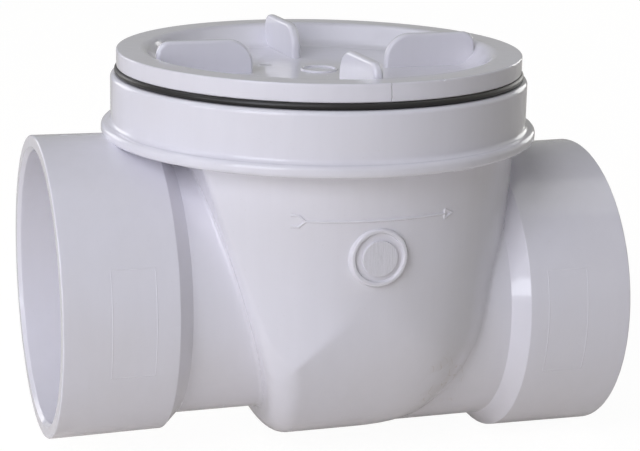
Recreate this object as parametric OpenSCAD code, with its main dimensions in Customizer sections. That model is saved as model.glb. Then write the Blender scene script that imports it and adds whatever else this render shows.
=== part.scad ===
// Swing non-return valve for solvent-weld drain pipe.
// X runs along the flow, inlet on the -X side. Z is up, and z = 0 touches the outlet hub.
// The screwed cover sits on the Z axis.

/* [Sockets] */
// Outside diameter of the pipe that both sockets take
pipe_d = 114.3; // [108:0.1:118]
// Wall of that pipe, which sets the waterway and the wall of the necks
pipe_wall = 6.35; // [5:0.05:8]
// Radial gap between pipe and socket
socket_gap = 0.2; // [0.05:0.05:0.6]
// Depth of each socket
socket_depth = 44.5; // [36:0.5:50]
// Wall of the hub around the socket
hub_wall = 6.35; // [4.5:0.05:8]
// Radius that a hub loses from its mouth to its back
hub_draft = 0.5; // [0:0.1:1]
// Full-size hub behind the floor of the inlet socket
inlet_hub_floor = 2.5; // [0.5:0.1:5]
// Full-size hub behind the floor of the outlet socket
outlet_hub_floor = 0.4; // [0.3:0.1:4]
// Length of the sloped shoulder from hub to neck
shoulder_len = 6.5; // [3:0.5:9]
// Bevel at the mouth of each socket
mouth_bevel = 1.5; // [0.5:0.1:3]
// From the cover's axis to the mouth of the inlet socket
inlet_reach = 121.75; // [118:0.25:140]
// From the cover's axis to the mouth of the outlet socket
outlet_reach = 121.75; // [118:0.25:140]
// How far the outlet's axis lies below the inlet's
axis_drop = 12.2; // [6:0.1:16]

/* [Chamber] */
// Radius of the chamber beyond the waterway, where the bowl begins
chamber_room = 29.2; // [27:0.1:32]
// Growth of the chamber's radius from the bowl up to the bead
chamber_flare = 2.6; // [1.5:0.1:5]
// Height of the bowl's centre above the inlet axis
bowl_rise = 11; // [9:0.5:12]
// Radius of the bowl beyond the chamber's
bowl_over = 3; // [1:0.1:4]
// Thickness of the moulded walls
wall = 6; // [4.5:0.1:7]
// Lean of the seat wall from upright, its top towards the inlet
seat_tilt = 16; // [12:0.5:18]
// Depth of the seat wall's outer face inside the chamber's circle, at the inlet axis
seat_set = 33.5; // [31:0.5:35]
// Rounding where the seat wall turns into the bottom of the chamber
heel_r = 10; // [8:0.5:18]
// Radius of the moulding gate's boss on the front of the chamber
gate_r = 12.1; // [6:0.1:14]
// Distance of the boss from the cover's axis, towards the outlet
gate_x = 1; // [-5:0.5:10]
// Height of the boss above the inlet axis
gate_rise = 27; // [18:0.5:40]
// How far the boss stands proud of the wall
gate_proud = 1.5; // [0.8:0.1:3]
// Width of the boss's raised rim
gate_rim = 2.2; // [1:0.1:3]
// Width of the groove between its rim and its disc
gate_groove = 2.3; // [0.8:0.1:3]

/* [Collar] */
// Height of the collar's rim above the crown of the inlet's waterway
collar_rise = 36.4; // [34:0.1:44]
// Height of the collar with its bead
collar_h = 25.6; // [24:0.1:27]
// Step of the collar's radius out from the top of the chamber
collar_step = 6; // [5:0.1:9]
// Wall of the collar at its threaded bore
collar_wall = 8.8; // [7.5:0.1:10]
// Step of the bead out from the collar
bead_out = 4.1; // [2:0.1:6]
// Thickness of the bead
bead_h = 5; // [4:0.1:6]
// Rounding of the bead's edges
bead_edge = 1.9; // [0.5:0.1:2]
// Rounding of the collar's outer rim
rim_edge = 2; // [0.5:0.1:3]
// Bevel where the collar's thread begins
entry_bevel = 1; // [0.5:0.1:1.4]

/* [Cover] */
// Step of the cover's ring in from the collar
ring_inset = 2.6; // [1.5:0.1:4]
// Height of the cover's ring
ring_h = 7.5; // [6:0.1:10]
// Flat land on top of the ring
ring_land = 9.9; // [6:0.1:12]
// Slope of the dish's side, from level
dish_slope = 50; // [40:1:60]
// Depth of the dish below the ring's top
dish_depth = 9.3; // [8:0.1:11]
// Rounding between the land and the dish
dish_edge = 4.5; // [2:0.1:5]
// Rounding between the dish's side and floor
dish_fillet = 9; // [5:0.5:11]
// Thickness of the cover's plate
plate_t = 5; // [3:0.1:7]
// Pitch of the cover's thread
thread_pitch = 6; // [5:0.1:6.4]
// Turns of thread in engagement
thread_turns = 2.5; // [2:0.1:2.6]
// Height of the thread
thread_h = 1.8; // [1:0.1:2.2]
// Radial play in the thread
thread_play = 0.5; // [0.3:0.1:1]
// Wall of the threaded skirt under its thread
skirt_wall = 4.5; // [3:0.1:5]
// Thickness of a grip rib
rib_t = 4; // [2.5:0.1:6]
// Height of the ribs above the ring
rib_rise = 5.1; // [3:0.1:9]
// Distance of the ribs' inner ends from the middle
rib_start = 29.8; // [15:0.1:34]
// Gap from the ribs' outer ends to the land of the ring
rib_end_gap = 4.8; // [3:0.1:8]
// Rounding of the ribs' inner corners
rib_inner_r = 11; // [6:0.5:12]
// Rounding of the ribs' outer corners
rib_outer_r = 5.5; // [3:0.5:7]
// Angle that the ribs are turned from the flow when the cover is tight, in degrees
rib_turn = 2; // [0:1:10]

/* [Cover seal] */
// Squeezed height of the O-ring, between ring and collar
o_ring_h = 2.8; // [2:0.1:4]
// Squeezed width of the O-ring
o_ring_w = 5; // [4.2:0.1:5.5]
// How far the O-ring bulges beyond the cover's ring
o_ring_bulge = 0.9; // [0.3:0.1:1.2]

/* [Seat] */
// Width of the seat ring's face, between its two radii
seat_w = 4.5; // [3.5:0.1:5.5]
// Depth of the recess that holds the seat ring
seat_sunk = 3; // [2:0.1:3.5]
// How far the seat ring stands proud of the seat wall
seat_proud = 2.5; // [1.5:0.1:3.5]
// Bevel of the seat ring's lip
seat_bevel = 1; // [0.5:0.1:1.4]

/* [Flap] */
// Reach of the disc beyond the seat ring
disc_over = 0.5; // [0.2:0.1:1]
// Reach of the rubber seal beyond the disc
seal_over = 0.5; // [0.2:0.1:1]
// Thickness of the rubber seal
seal_t = 4; // [3:0.1:5]
// Thickness of the disc's plate
disc_plate = 3; // [2:0.1:4]
// Height of the disc's rim and boss above its plate
disc_rim_h = 3; // [2:0.1:4]
// Width of the disc's rim
disc_rim_w = 4; // [3:0.1:6]
// Thickness of the disc's stiffening ribs
disc_rib_t = 2.5; // [1.5:0.1:4]
// Gap from the retainer's edge to the inside of the seat ring
retainer_gap = 9; // [5:0.5:14]
// Thickness of the seal's retainer
retainer_t = 3; // [2:0.1:4]
// Radius of the boss in the middle of the disc and the arm
boss_r = 13; // [11:0.1:18]
// Thickness of the hinge arm
arm_t = 6; // [4:0.1:7]
// Width of each leg of the arm
arm_w = 9; // [6:0.1:12]
// Bevel of the edges of disc and retainer
disc_bevel = 1; // [0.5:0.1:1.4]
// Diameter of the centre bolt
bolt_d = 8; // [6:0.1:10]

/* [Hinge] */
// Diameter of the hinge pin
pin_d = 6; // [4:0.1:7]
// Depth of the pin below the ledge that the bracket stands on
pin_drop = 2.55; // [0.5:0.05:3]
// Distance of the pin from the face of the seat wall
pin_off = 9; // [8.5:0.1:11]
// Wall of the knuckles and lugs around the pin
knuckle_wall = 3; // [2:0.1:3.2]
// Width of a knuckle along the pin
knuckle_w = 7; // [5:0.1:9]
// Distance of each knuckle's middle from the middle plane
knuckle_y = 17.3; // [15:0.1:20]
// Thickness of each lug of the bracket
lug_t = 5; // [3:0.1:6]
// Thickness of the bracket's foot
foot_t = 3.5; // [2.5:0.1:4]
// Depth of the bracket's foot along the pipe
foot_depth = 14.5; // [13:0.1:15]
// Diameter of the bracket's screws
screw_d = 4; // [3:0.1:5]
// Distance of each screw from the middle plane
screw_y = 14; // [10:0.1:16]
// Thickness of the pin's clips
clip_t = 1.2; // [0.8:0.1:2]

/* [Hidden] */

// Clearances
fit = 0.05;         // a shaft in its hole, and parts that turn on each other
slip = 0.2;         // loose holes, and the seat ring in its recess
side_play = 0.4;    // between knuckle and lug along the pin
seam = 0.1;         // step where two forms of the mould meet
overlap = 1;        // how far joined forms run into each other
far = 300;          // beyond the part in every direction
fine = 96;          // facets of large circles
mid = 48;           // facets of small circles
steps = 6;          // points along a rounded corner

// Proportions of the fasteners, in radii of their shanks
hex_ratio = 1.85;
head_ratio = 1.3;
washer_ratio = 2.2;
bolt_end_ratio = 0.6;
screw_head_ratio = 1.8;
screw_tall_ratio = 1.2;
screw_taper_ratio = 0.7;
clip_mouth_ratio = 1.4;

// Sockets, hubs and necks
pipe_r = pipe_d / 2;
bore_r = pipe_r - pipe_wall;
socket_r = pipe_r + socket_gap;
hub_r = socket_r + hub_wall;
outlet_z = hub_r;
inlet_z = outlet_z + axis_drop;

// Chamber
chamber_r = bore_r + chamber_room;
bowl_z = inlet_z + bowl_rise;
cradle_r = chamber_r + seam;
bowl_r = chamber_r + bowl_over;
seat_x = seat_set - chamber_r;
seat_face_x = seat_x + wall / cos(seat_tilt);

// Collar
rim_z = inlet_z + bore_r + collar_rise;
bead_z = rim_z - collar_h;
ledge_z = bead_z + bead_h;
top_r = chamber_r + chamber_flare;
collar_r = top_r + collar_step;
bead_r = collar_r + bead_out;
thread_bore_r = collar_r - collar_wall;
draft = chamber_flare / (bead_z - bowl_z);

// Cover
ring_r = collar_r - ring_inset;
ring_z = rim_z + o_ring_h;
ring_top = ring_z + ring_h;
dish_z = ring_top - dish_depth;
land_r = ring_r - ring_land;
dish_bend = dish_edge + dish_fillet;
dish_run = dish_bend * sin(dish_slope)
  + (dish_depth - dish_bend * (1 - cos(dish_slope))) / tan(dish_slope);
dish_r = land_r - dish_run;
skirt_r = thread_bore_r - thread_h - thread_play;
skirt_z = rim_z - thread_pitch * thread_turns;
ring_break = 0.7;
rib_end = land_r - rib_end_gap;
rib_top = ring_top + rib_rise;
hub_mark_r = 8;
hub_mark_w = 1.2;
hub_mark_h = 0.8;

// O-ring
o_ring_out = ring_r + o_ring_bulge;
o_ring_mid = o_ring_out - o_ring_w / 2;
gland_r = o_ring_out - o_ring_w - slip;
gland_lift = 0.4;

// Seat ring and flap, in the frame of the seat wall's inner face
seat_in = bore_r / cos(seat_tilt) + slip;
seat_out = seat_in + seat_w;
seal_x = seat_proud + fit;
disc_x = seal_x + seal_t;
disc_t = disc_plate + disc_rim_h;
disc_r = seat_out + disc_over;
seal_r = disc_r + seal_over;
arm_x = disc_x + disc_t;
retainer_x = seal_x - retainer_t;
retainer_r = seat_in - retainer_gap;
bolt_r = bolt_d / 2;
head_r = hex_ratio * bolt_r;
head_h = head_ratio * bolt_r;
washer_t = 1.6;
washer_r = washer_ratio * bolt_r;
nut_x = arm_x + arm_t + washer_t;
bolt_end = nut_x + head_h + bolt_end_ratio * bolt_r;

// Hinge, in the same frame and in the part's frame
pin_r = pin_d / 2;
knuckle_r = pin_r + knuckle_wall;
hinge_z = ledge_z - pin_drop;
pin_up = (hinge_z - inlet_z - pin_off * sin(seat_tilt)) / cos(seat_tilt);
hinge_x = seat_face_x + pin_off * cos(seat_tilt) - pin_up * sin(seat_tilt);
lug_y = knuckle_y + knuckle_w / 2 + side_play;
foot_y = lug_y + lug_t;
foot_front = hinge_x - knuckle_r - overlap;
foot_back = foot_front - foot_depth;
foot_top = ledge_z + foot_t;
screw_r = screw_d / 2;
screw_x = foot_front - foot_depth / 2 - overlap;
screw_head_r = screw_head_ratio * screw_r;
screw_head_h = screw_tall_ratio * screw_r;
screw_bite = bead_h - overlap;
pin_half = foot_y + clip_t + 2 * slip + overlap;

// Points of an arc around (cx, cz), from angle a0 to angle a1
function arc(cx, cz, r, a0, a1, n = steps) =
  [for (i = [0:n]) let (a = a0 + (a1 - a0) * i / n) [cx + r * cos(a), cz + r * sin(a)]];

// Places its children in the frame of the seat wall's inner face: x away from the wall, z up along it
module on_seat() {
  translate([seat_face_x, 0, inlet_z]) rotate([0, -seat_tilt, 0]) children();
}

// Cylinder along the seat's x axis, from x0 to x1
module seat_rod(x0, x1, r, facets = mid) {
  translate([x0, 0, 0]) rotate([0, 90, 0]) cylinder(h = x1 - x0, r = r, $fn = facets);
}

// Everything downstream of the seat wall, with the rounded heel, set back by the inset
module seat_side(inset) {
  long_r = chamber_r / cos(seat_tilt);
  flat_r = long_r + overlap - heel_r;
  bend_r = heel_r - inset;
  heel = arc(flat_r, heel_r, bend_r, -90, 0);
  translate([seat_x, 0, inlet_z]) rotate([0, -seat_tilt, 0])
    translate([0, 0, bowl_rise / cos(seat_tilt)]) rotate([0, 90, 0])
      rotate_extrude($fn = fine)
        polygon(concat([[0, inset]], heel, [[far, heel_r], [far, far], [0, far]]));
}

// Form of the chamber: a round tower, flared above the bowl's centre, that ends below in a level
// cradle along the flow and, on the outlet side, in a round bowl
module chamber_form(inset, top) {
  side_r = chamber_r - inset;
  intersection() {
    rotate_extrude($fn = fine)
      polygon([[0, 0], [side_r, 0], [side_r, bowl_z], [side_r + draft * (top - bowl_z), top], [0, top]]);
    union() {
      translate([-far, 0, bowl_z]) rotate([0, 90, 0]) cylinder(h = 2 * far, r = cradle_r - inset, $fn = fine);
      translate([-far, -far, bowl_z]) cube([2 * far, 2 * far, far]);
    }
    union() {
      translate([0, 0, bowl_z]) sphere(r = bowl_r - inset, $fn = fine);
      translate([-far, -far, bowl_z]) cube([2 * far, 2 * far, far]);
      translate([-far, -far, -overlap]) cube([far, 2 * far, far]);
    }
    seat_side(inset);
  }
}

// Solid collar with its bead
module collar_form() {
  rotate_extrude($fn = fine)
    polygon(concat([[0, bead_z]],
      arc(bead_r - bead_edge, bead_z + bead_edge, bead_edge, -90, 0),
      arc(bead_r - bead_edge, ledge_z - bead_edge, bead_edge, 0, 90),
      arc(collar_r + bead_edge, ledge_z + bead_edge, bead_edge, -90, -180),
      arc(collar_r - rim_edge, rim_z - rim_edge, rim_edge, 0, 90),
      [[0, rim_z]]));
}

// Solid hub with its shoulder and neck, mouth at the origin, running along +X
module hub_form(hub_len, neck_len) {
  rotate([0, 90, 0]) {
    cylinder(h = hub_len, r1 = hub_r, r2 = hub_r - hub_draft, $fn = fine);
    translate([0, 0, hub_len]) cylinder(h = shoulder_len, r1 = hub_r - hub_draft, r2 = pipe_r, $fn = fine);
    cylinder(h = neck_len, r = pipe_r, $fn = fine);
  }
}

// Space inside a hub: bevelled mouth, socket and waterway
module hub_space(bore_len) {
  rotate([0, 90, 0]) {
    translate([0, 0, -overlap]) cylinder(h = socket_depth + overlap, r = socket_r, $fn = fine);
    cylinder(h = mouth_bevel, r1 = socket_r + mouth_bevel, r2 = socket_r, $fn = fine);
    cylinder(h = bore_len, r = bore_r, $fn = fine);
  }
}

module valve_body() {
  inlet_len = inlet_reach + seat_face_x;
  through_len = inlet_len + bore_r * tan(seat_tilt) + overlap;
  gate_y = chamber_r + draft * (gate_rise - bowl_rise);
  color("white") difference() {
    union() {
      chamber_form(0, bead_z + overlap);
      collar_form();
      translate([-inlet_reach, 0, inlet_z]) hub_form(socket_depth + inlet_hub_floor, inlet_len + heel_r);
      translate([outlet_reach, 0, outlet_z]) mirror([1, 0, 0])
        hub_form(socket_depth + outlet_hub_floor, outlet_reach);
      translate([gate_x, -gate_y - gate_proud, inlet_z + gate_rise]) rotate([-90, 0, 0])
        cylinder(h = wall, r = gate_r, $fn = mid);
    }
    chamber_form(wall, ledge_z);
    translate([0, 0, ledge_z]) cylinder(h = far, r = thread_bore_r, $fn = fine);
    translate([0, 0, rim_z - entry_bevel])
      cylinder(h = entry_bevel + seam, r1 = thread_bore_r, r2 = thread_bore_r + entry_bevel + seam, $fn = fine);
    translate([-inlet_reach, 0, inlet_z]) hub_space(through_len);
    translate([outlet_reach, 0, outlet_z]) mirror([1, 0, 0]) hub_space(outlet_reach);
    on_seat() seat_rod(-seat_sunk, wall, seat_out + slip, fine);
    for (side = [-1, 1])
      translate([screw_x, side * screw_y, ledge_z - screw_bite])
        cylinder(h = far, r = screw_r + fit, $fn = mid);
    translate([gate_x, -gate_y - far, inlet_z + gate_rise]) rotate([-90, 0, 0]) {
      cylinder(h = far - gate_proud / 2, r = gate_r - gate_rim, $fn = mid);
      difference() {
        cylinder(h = far, r = gate_r - gate_rim, $fn = mid);
        cylinder(h = far + overlap, r = gate_r - gate_rim - gate_groove, $fn = mid);
      }
    }
  }
}

// One grip rib, standing on the dish's floor along +X
module grip_rib() {
  rotate([90, 0, 0]) translate([0, 0, -rib_t / 2]) linear_extrude(rib_t)
    polygon(concat([[rib_end, dish_z - overlap], [rib_start, dish_z - overlap]],
      arc(rib_start + rib_inner_r, rib_top - rib_inner_r, rib_inner_r, 180, 90),
      arc(rib_end - rib_outer_r, rib_top - rib_outer_r, rib_outer_r, 90, 0)));
}

module access_cover() {
  under_z = dish_z - plate_t;
  color("white") {
    rotate_extrude($fn = fine)
      polygon(concat([[0, under_z], [skirt_r - skirt_wall, under_z], [skirt_r - skirt_wall, skirt_z],
        [skirt_r - ring_break, skirt_z], [skirt_r, skirt_z + ring_break], [skirt_r, rim_z + gland_lift],
        [gland_r, rim_z + gland_lift], [gland_r, ring_z], [ring_r - ring_break, ring_z],
        [ring_r, ring_z + ring_break], [ring_r, ring_top - ring_break], [ring_r - ring_break, ring_top]],
        arc(land_r, ring_top - dish_edge, dish_edge, 90, 90 + dish_slope),
        arc(dish_r, dish_z + dish_fillet, dish_fillet, dish_slope - 90, -90),
        [[0, dish_z]]));
    for (turn = [0:3]) rotate([0, 0, 90 * turn + rib_turn]) grip_rib();
    translate([0, 0, dish_z - overlap]) difference() {
      cylinder(h = overlap + hub_mark_h, r = hub_mark_r, $fn = mid);
      translate([0, 0, overlap]) cylinder(h = overlap, r = hub_mark_r - hub_mark_w, $fn = mid);
    }
  }
}

module cover_o_ring() {
  bend = o_ring_h / 2;
  reach = o_ring_w / 2 - bend;
  color("black") rotate_extrude($fn = fine)
    polygon(concat(arc(o_ring_mid + reach, rim_z + bend, bend, -90, 90),
      arc(o_ring_mid - reach, rim_z + bend, bend, 90, 270)));
}

module seat_ring() {
  color("gainsboro") on_seat() rotate([0, 90, 0]) rotate_extrude($fn = fine)
    polygon([[seat_in, -seat_sunk], [seat_out, -seat_sunk], [seat_out, seat_proud - seat_bevel],
      [seat_out - seat_bevel, seat_proud], [seat_in + seat_bevel, seat_proud],
      [seat_in, seat_proud - seat_bevel]]);
}

module flap_disc() {
  rib_h = disc_rim_h - slip;
  color("white") on_seat() difference() {
    union() {
      rotate([0, 90, 0]) rotate_extrude($fn = fine)
        polygon([[0, disc_x], [disc_r - disc_bevel, disc_x], [disc_r, disc_x + disc_bevel],
          [disc_r, disc_x + disc_t - disc_bevel], [disc_r - disc_bevel, disc_x + disc_t],
          [disc_r - disc_rim_w, disc_x + disc_t], [disc_r - disc_rim_w, disc_x + disc_plate],
          [boss_r, disc_x + disc_plate], [boss_r, disc_x + disc_t], [0, disc_x + disc_t]]);
      for (turn = [0:7]) rotate([45 * turn, 0, 0])
        translate([disc_x + disc_plate - overlap, -disc_rib_t / 2, boss_r - overlap])
          cube([rib_h + overlap, disc_rib_t, disc_r - boss_r - disc_rim_w + 2 * overlap]);
    }
    seat_rod(0, far, bolt_r + slip);
  }
}

module flap_seal() {
  color("black") on_seat() difference() {
    seat_rod(seal_x, disc_x, seal_r, fine);
    seat_rod(0, far, bolt_r + slip);
  }
}

module seal_retainer() {
  color("silver") on_seat() difference() {
    rotate([0, 90, 0]) rotate_extrude($fn = fine)
      polygon([[0, retainer_x], [retainer_r - disc_bevel, retainer_x], [retainer_r, retainer_x + disc_bevel],
        [retainer_r, seal_x], [0, seal_x]]);
    seat_rod(-far, far, bolt_r + slip);
  }
}

// Knuckle with the neck that joins it to a leg, across the pin
module arm_knuckle() {
  front_x = arm_x + arm_t;
  rotate([90, 0, 0]) translate([0, 0, -knuckle_w / 2]) linear_extrude(knuckle_w) {
    translate([pin_off, pin_up]) circle(r = knuckle_r, $fn = mid);
    polygon([[arm_x, pin_up - 2 * knuckle_r], [front_x, pin_up - 2 * knuckle_r], [front_x, pin_up - overlap],
      [pin_off + overlap, pin_up + knuckle_r - overlap], [pin_off, pin_up - knuckle_r + overlap],
      [arm_x, pin_up - knuckle_r - overlap]]);
  }
}

module hinge_arm() {
  leg_turn = atan(knuckle_y / pin_up);
  leg_start = (boss_r + bolt_r) / 2;
  leg_end = norm([knuckle_y, pin_up]) - knuckle_r - overlap;
  color("white") on_seat() difference() {
    union() {
      seat_rod(arm_x, arm_x + arm_t, boss_r);
      for (side = [-1, 1]) {
        rotate([-side * leg_turn, 0, 0]) translate([arm_x, -arm_w / 2, leg_start])
          cube([arm_t, arm_w, leg_end - leg_start]);
        translate([0, side * knuckle_y, 0]) arm_knuckle();
      }
    }
    seat_rod(0, far, bolt_r + slip);
    translate([pin_off, -far / 2, pin_up]) rotate([-90, 0, 0])
      cylinder(h = far, r = pin_r + fit, $fn = mid);
  }
}

module centre_bolt() {
  color("silver") on_seat() {
    seat_rod(retainer_x - head_h, retainer_x, head_r, 6);
    seat_rod(retainer_x - seam, bolt_end, bolt_r);
  }
}

module centre_washer() {
  color("silver") on_seat() difference() {
    seat_rod(arm_x + arm_t, nut_x, washer_r);
    seat_rod(0, far, bolt_r + slip);
  }
}

module centre_nut() {
  color("silver") on_seat() difference() {
    seat_rod(nut_x, nut_x + head_h, head_r, 6);
    seat_rod(0, far, bolt_r + fit);
  }
}

module hinge_bracket() {
  lug_low = hinge_z - knuckle_r;
  lug_top = hinge_z + knuckle_r;
  slope_x = foot_back + foot_depth / 3;
  color("white") difference() {
    union() {
      translate([foot_back, -foot_y, ledge_z]) cube([foot_depth, 2 * foot_y, foot_t]);
      for (side = [-1, 1]) {
        translate([0, side * (lug_y + lug_t / 2) + lug_t / 2, 0]) rotate([90, 0, 0]) linear_extrude(lug_t)
          union() {
            translate([hinge_x, hinge_z]) circle(r = knuckle_r, $fn = mid);
            polygon([[slope_x, ledge_z], [foot_front, ledge_z], [hinge_x, lug_low], [hinge_x, lug_top],
              [foot_front, lug_top], [slope_x, foot_top]]);
          }
      }
    }
    translate([hinge_x, -far / 2, hinge_z]) rotate([-90, 0, 0])
      cylinder(h = far, r = pin_r + fit, $fn = mid);
    for (side = [-1, 1])
      translate([screw_x, side * screw_y, 0]) cylinder(h = far, r = screw_r + slip, $fn = mid);
  }
}

module bracket_screws() {
  color("silver") for (side = [-1, 1])
    translate([screw_x, side * screw_y, ledge_z - screw_bite + slip]) {
      cylinder(h = screw_bite - slip + foot_t + seam, r = screw_r, $fn = mid);
      translate([0, 0, screw_bite - slip + foot_t]) difference() {
        cylinder(h = screw_head_h, r1 = screw_head_r, r2 = screw_taper_ratio * screw_head_r, $fn = mid);
        translate([0, 0, screw_head_h / 2]) cylinder(h = screw_head_h, r = screw_r / 2, $fn = 6);
      }
    }
}

module hinge_pin() {
  color("silver") translate([hinge_x, -pin_half, hinge_z]) rotate([-90, 0, 0])
    cylinder(h = 2 * pin_half, r = pin_r, $fn = mid);
}

module pin_clips() {
  color("silver") for (side = [-1, 1])
    translate([hinge_x, side * (foot_y + slip + clip_t / 2), hinge_z]) rotate([-90, 0, 0])
      translate([0, 0, -clip_t / 2]) difference() {
        cylinder(h = clip_t, r = knuckle_r - overlap, $fn = mid);
        translate([0, 0, -overlap]) cylinder(h = far, r = pin_r + fit, $fn = mid);
        translate([-clip_mouth_ratio * pin_r / 2, -far, -overlap]) cube([clip_mouth_ratio * pin_r, far, far]);
      }
}

valve_body();
access_cover();
cover_o_ring();
seat_ring();
flap_disc();
flap_seal();
seal_retainer();
hinge_arm();
centre_bolt();
centre_washer();
centre_nut();
hinge_bracket();
bracket_screws();
hinge_pin();
pin_clips();
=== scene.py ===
import math

import bmesh
import bpy
import numpy as np
from mathutils import Matrix, Vector


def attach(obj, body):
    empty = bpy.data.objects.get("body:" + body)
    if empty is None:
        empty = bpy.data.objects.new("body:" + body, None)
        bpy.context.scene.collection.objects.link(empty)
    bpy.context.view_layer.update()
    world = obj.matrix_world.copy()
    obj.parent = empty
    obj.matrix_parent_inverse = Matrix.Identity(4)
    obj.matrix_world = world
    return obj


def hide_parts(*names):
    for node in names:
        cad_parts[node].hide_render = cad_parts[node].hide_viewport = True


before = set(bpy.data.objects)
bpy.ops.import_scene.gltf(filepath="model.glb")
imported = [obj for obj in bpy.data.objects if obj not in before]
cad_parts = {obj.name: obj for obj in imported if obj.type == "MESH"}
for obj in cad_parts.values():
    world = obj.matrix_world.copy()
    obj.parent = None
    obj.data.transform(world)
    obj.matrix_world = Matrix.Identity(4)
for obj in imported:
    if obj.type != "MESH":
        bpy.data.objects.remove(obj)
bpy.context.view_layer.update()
mm = 0.001
print("frame loaded")

# the photograph's view: place in metres, angles in degrees
photoCamera = {
    "place": (-0.2332, -0.7456, 0.2982),
    "yaw": 17.5,
    "pitch": 14.55,
    "roll": 1.17,
    "lens": 104.16,
    "sensor": 36.0,
    "clipStart": 0.01,
}


def placeCamera(c):
    yaw, pitch, roll = (math.radians(c[k]) for k in ("yaw", "pitch", "roll"))
    ahead = Vector((math.sin(yaw) * math.cos(pitch), math.cos(yaw) * math.cos(pitch), -math.sin(pitch)))
    level = Vector((math.cos(yaw), -math.sin(yaw), 0))
    over = level.cross(ahead)
    right = level * math.cos(roll) + over * math.sin(roll)
    up = over * math.cos(roll) - level * math.sin(roll)
    data = bpy.data.cameras.new("photoCamera")
    data.lens = c["lens"]
    data.sensor_width = c["sensor"]
    data.sensor_fit = "HORIZONTAL"
    data.clip_start = c["clipStart"]
    camera = bpy.data.objects.new("photoCamera", data)
    turn = Matrix((right, up, -ahead)).transposed()
    place = Vector(c["place"])
    camera.matrix_world = Matrix.Translation(place) @ turn.to_4x4()
    bpy.context.scene.collection.objects.link(camera)
    bpy.context.scene.camera = camera


placeCamera(photoCamera)
print("camera placed")


# mesh tools, all in millimetres until an object is made
mergeGap = 1e-7  # points of an object closer than this, in metres, become one


def makeObject(name, points, faces):
    mesh = bpy.data.meshes.new(name)
    mesh.from_pydata((np.asarray(points) * mm).tolist(), [], [list(f) for f in faces])
    mesh.validate()
    obj = bpy.data.objects.new(name, mesh)
    bpy.context.scene.collection.objects.link(obj)
    return obj


def faceOutward(obj):
    bm = bmesh.new()
    bm.from_mesh(obj.data)
    bmesh.ops.remove_doubles(bm, verts=bm.verts, dist=mergeGap)
    bmesh.ops.recalc_face_normals(bm, faces=bm.faces)
    bm.to_mesh(obj.data)
    bm.free()
    return obj


def bend(corners, steps=6):
    # corners are (across, along, rounding); each rounded one becomes an arc
    outline = []
    for i, corner in enumerate(corners):
        here = Vector(corner[:2])
        radius = corner[2] if len(corner) > 2 else 0
        if not radius:
            outline.append(tuple(here))
            continue
        before = (Vector(corners[i - 1][:2]) - here).normalized()
        after = (Vector(corners[(i + 1) % len(corners)][:2]) - here).normalized()
        half = before.angle(after) / 2
        middle = here + (before + after).normalized() * radius / math.sin(half)
        start = here + before * radius / math.tan(half) - middle
        end = here + after * radius / math.tan(half) - middle
        sweep = start.angle_signed(end)
        for k in range(steps + 1):
            outline.append(tuple(middle + Matrix.Rotation(-sweep * k / steps, 2) @ start))
    return outline


def turned(name, outline, place=Matrix(), sides=192):
    # a closed outline of (radius, height) spun round Z, then placed
    outline = np.array(outline)
    angle = np.arange(sides) * 2 * math.pi / sides
    rings = [np.stack([r * np.cos(angle), r * np.sin(angle), np.full(sides, h)], 1) for r, h in outline]
    points = np.concatenate(rings)
    points = points @ np.array(place.to_3x3()).T + np.array(place.translation)
    faces = []
    step = np.arange(sides)
    onAxis = outline[:, 0] < 1e-6
    for i in range(len(outline)):
        j = (i + 1) % len(outline)
        if onAxis[i] and onAxis[j]:
            continue
        a, b = i * sides, j * sides
        ring = np.stack([a + step, a + (step + 1) % sides, b + (step + 1) % sides, b + step], 1)
        faces += ring.tolist()
    obj = makeObject(name, points, faces)
    bm = bmesh.new()
    bm.from_mesh(obj.data)
    bmesh.ops.remove_doubles(bm, verts=bm.verts, dist=mergeGap)
    bmesh.ops.dissolve_degenerate(bm, edges=bm.edges, dist=mergeGap)
    bmesh.ops.recalc_face_normals(bm, faces=bm.faces)
    bm.to_mesh(obj.data)
    bm.free()
    return obj


def combine(base, tools, operation):
    # Boolean of base with each tool in turn; the tools are used up
    for tool in tools:
        cut = base.modifiers.new("cut", "BOOLEAN")
        cut.operation = operation
        cut.solver = "MANIFOLD"
        cut.object = tool
        graph = bpy.context.evaluated_depsgraph_get()
        result = bpy.data.meshes.new_from_object(base.evaluated_get(graph))
        if len(result.vertices) == len(base.data.vertices):
            print("  nothing done by", tool.name)
        base.modifiers.remove(cut)
        old = base.data
        base.data = result
        bpy.data.meshes.remove(old)
        bpy.data.objects.remove(tool)
    return base


def openJoint(a, b, radius):
    # union of two fields, its hollow corner filled to a radius
    u = np.maximum(radius - a, 0)
    v = np.maximum(radius - b, 0)
    return np.maximum(radius, np.minimum(a, b)) - np.hypot(u, v)


def roundEdge(a, b, radius):
    # what two fields share, its outer corner rounded to a radius
    u = np.maximum(radius + a, 0)
    v = np.maximum(radius + b, 0)
    return np.minimum(-radius, np.maximum(a, b)) + np.hypot(u, v)


# how the points of a field's mesh settle: rounds in all and rounds that also relax, how far a point moves
# to the middle of its neighbours, the span in mm over which a slope is taken, and the least slope, squared
settling = {"rounds": 12, "relaxed": 8, "pull": 0.5, "span": 0.02, "leastSlope": 0.2}


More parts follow.
